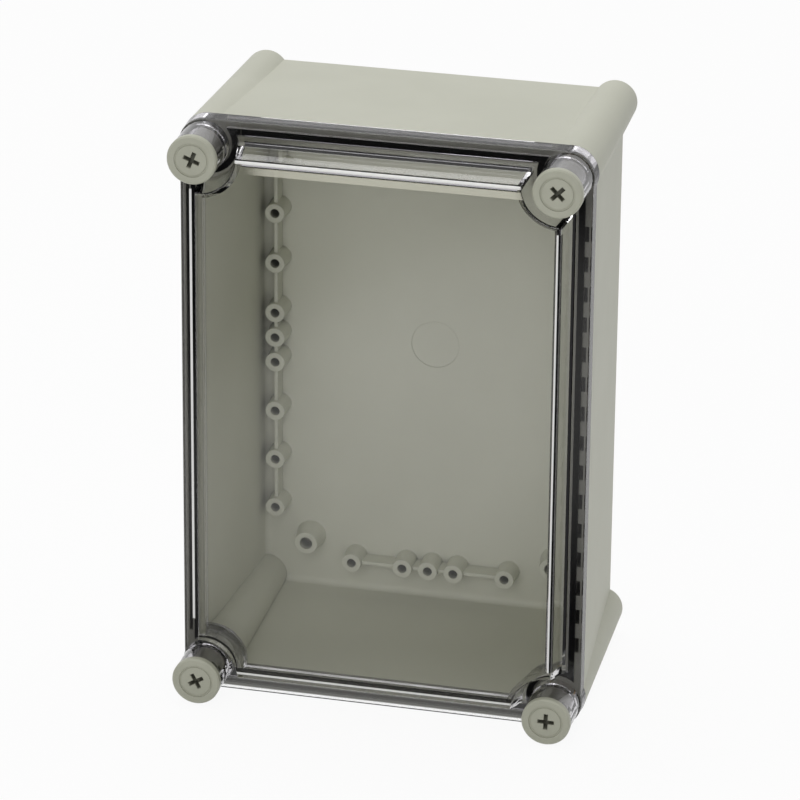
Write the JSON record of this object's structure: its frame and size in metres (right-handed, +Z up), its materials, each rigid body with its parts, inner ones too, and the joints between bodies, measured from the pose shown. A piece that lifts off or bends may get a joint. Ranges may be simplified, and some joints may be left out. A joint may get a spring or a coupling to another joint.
{
  "type": "hinged enclosure",
  "caption": "Upright polycarbonate wall enclosure with a deep base, bosses inside, a sealed clear cover on pull-out hinges and captive corner screws.",
  "frame": {"origin": "middle of the underside of the box's bounding box", "axes": "+Z up along the height, +Y towards the wall, cover and screw caps facing -Y, hinge posts at -X"},
  "size_m": [0.19, 0.13, 0.28],
  "materials": {
    "housing": "fine satin, light grey with a green cast",
    "clear_cover": "clear polycarbonate, faint grey tint",
    "gasket": "matt black foamed rubber",
    "screw_polyamide": "satin, light grey with a green cast",
    "natural_polyamide": "satin off-white",
    "grey_polyamide": "satin mid grey",
    "brass": "turned",
    "steel": "ground"
  },
  "bodies": {
    "base": {"base_shell": "housing", "thread_insert_upper": "brass", "thread_insert_lower": "brass", "pin_stop_upper": "grey_polyamide", "pin_stop_lower": "grey_polyamide"},
    "hinge_pins": {"hinge_pin_upper": "grey_polyamide", "hinge_pin_lower": "grey_polyamide"},
    "cover": {"cover": "clear_cover", "cover_gasket": "gasket", "hinge_link_upper": "grey_polyamide", "hinge_link_lower": "grey_polyamide", "knuckle_pin_upper": "steel", "knuckle_pin_lower": "steel"},
    "closing_lift_upper": {"closing_washer_upper": "natural_polyamide", "captive_ring_upper": "natural_polyamide"},
    "closing_screw_upper": {"closing_screw_upper": "screw_polyamide"},
    "hinge_lift_upper": {"hinge_washer_upper": "natural_polyamide"},
    "hinge_screw_upper": {"hinge_screw_upper": "screw_polyamide"},
    "closing_lift_lower": {"closing_washer_lower": "natural_polyamide", "captive_ring_lower": "natural_polyamide"},
    "closing_screw_lower": {"closing_screw_lower": "screw_polyamide"},
    "hinge_lift_lower": {"hinge_washer_lower": "natural_polyamide"},
    "hinge_screw_lower": {"hinge_screw_lower": "screw_polyamide"}
  },
  "joints": [
    {"name": "pins_slide", "type": "slide", "parent": "base", "child": "hinge_pins", "axis": [0, -1, 0], "range_m": [0, 0.0265]},
    {"name": "cover_swing", "type": "hinge", "parent": "hinge_pins", "child": "cover", "pos_m": [-0.0825, -0.029, 0.14], "axis": [0, 0, -1], "range_deg": [0, 100]},
    {"name": "closing_lift_upper", "type": "slide", "parent": "cover", "child": "closing_lift_upper", "axis": [0, -1, 0], "range_m": [0, 0.009]},
    {"name": "closing_turn_upper", "type": "hinge", "parent": "closing_lift_upper", "child": "closing_screw_upper", "pos_m": [0.0825, -0.06, 0.2675], "axis": [0, -1, 0], "range_deg": [0, 1080]},
    {"name": "hinge_lift_upper", "type": "slide", "parent": "cover", "child": "hinge_lift_upper", "axis": [0, -1, 0], "range_m": [0, 0.009]},
    {"name": "hinge_turn_upper", "type": "hinge", "parent": "hinge_lift_upper", "child": "hinge_screw_upper", "pos_m": [-0.0825, -0.06, 0.2675], "axis": [0, -1, 0], "range_deg": [0, 1080]},
    {"name": "closing_lift_lower", "type": "slide", "parent": "cover", "child": "closing_lift_lower", "axis": [0, -1, 0], "range_m": [0, 0.009]},
    {"name": "closing_turn_lower", "type": "hinge", "parent": "closing_lift_lower", "child": "closing_screw_lower", "pos_m": [0.0825, -0.06, 0.0125], "axis": [0, -1, 0], "range_deg": [0, 1080]},
    {"name": "hinge_lift_lower", "type": "slide", "parent": "cover", "child": "hinge_lift_lower", "axis": [0, -1, 0], "range_m": [0, 0.009]},
    {"name": "hinge_turn_lower", "type": "hinge", "parent": "hinge_lift_lower", "child": "hinge_screw_lower", "pos_m": [-0.0825, -0.06, 0.0125], "axis": [0, -1, 0], "range_deg": [0, 1080]}
  ],
  "couplings": [
    {"joint": "pins_slide", "follows": "cover_swing", "m_per_rad": 0.015},
    {"joint": "closing_lift_upper", "follows": "closing_turn_upper", "m_per_rad": 0.00047746},
    {"joint": "hinge_lift_upper", "follows": "hinge_turn_upper", "m_per_rad": 0.00047746},
    {"joint": "closing_lift_lower", "follows": "closing_turn_lower", "m_per_rad": 0.00047746},
    {"joint": "hinge_lift_lower", "follows": "hinge_turn_lower", "m_per_rad": 0.00047746}
  ]
}
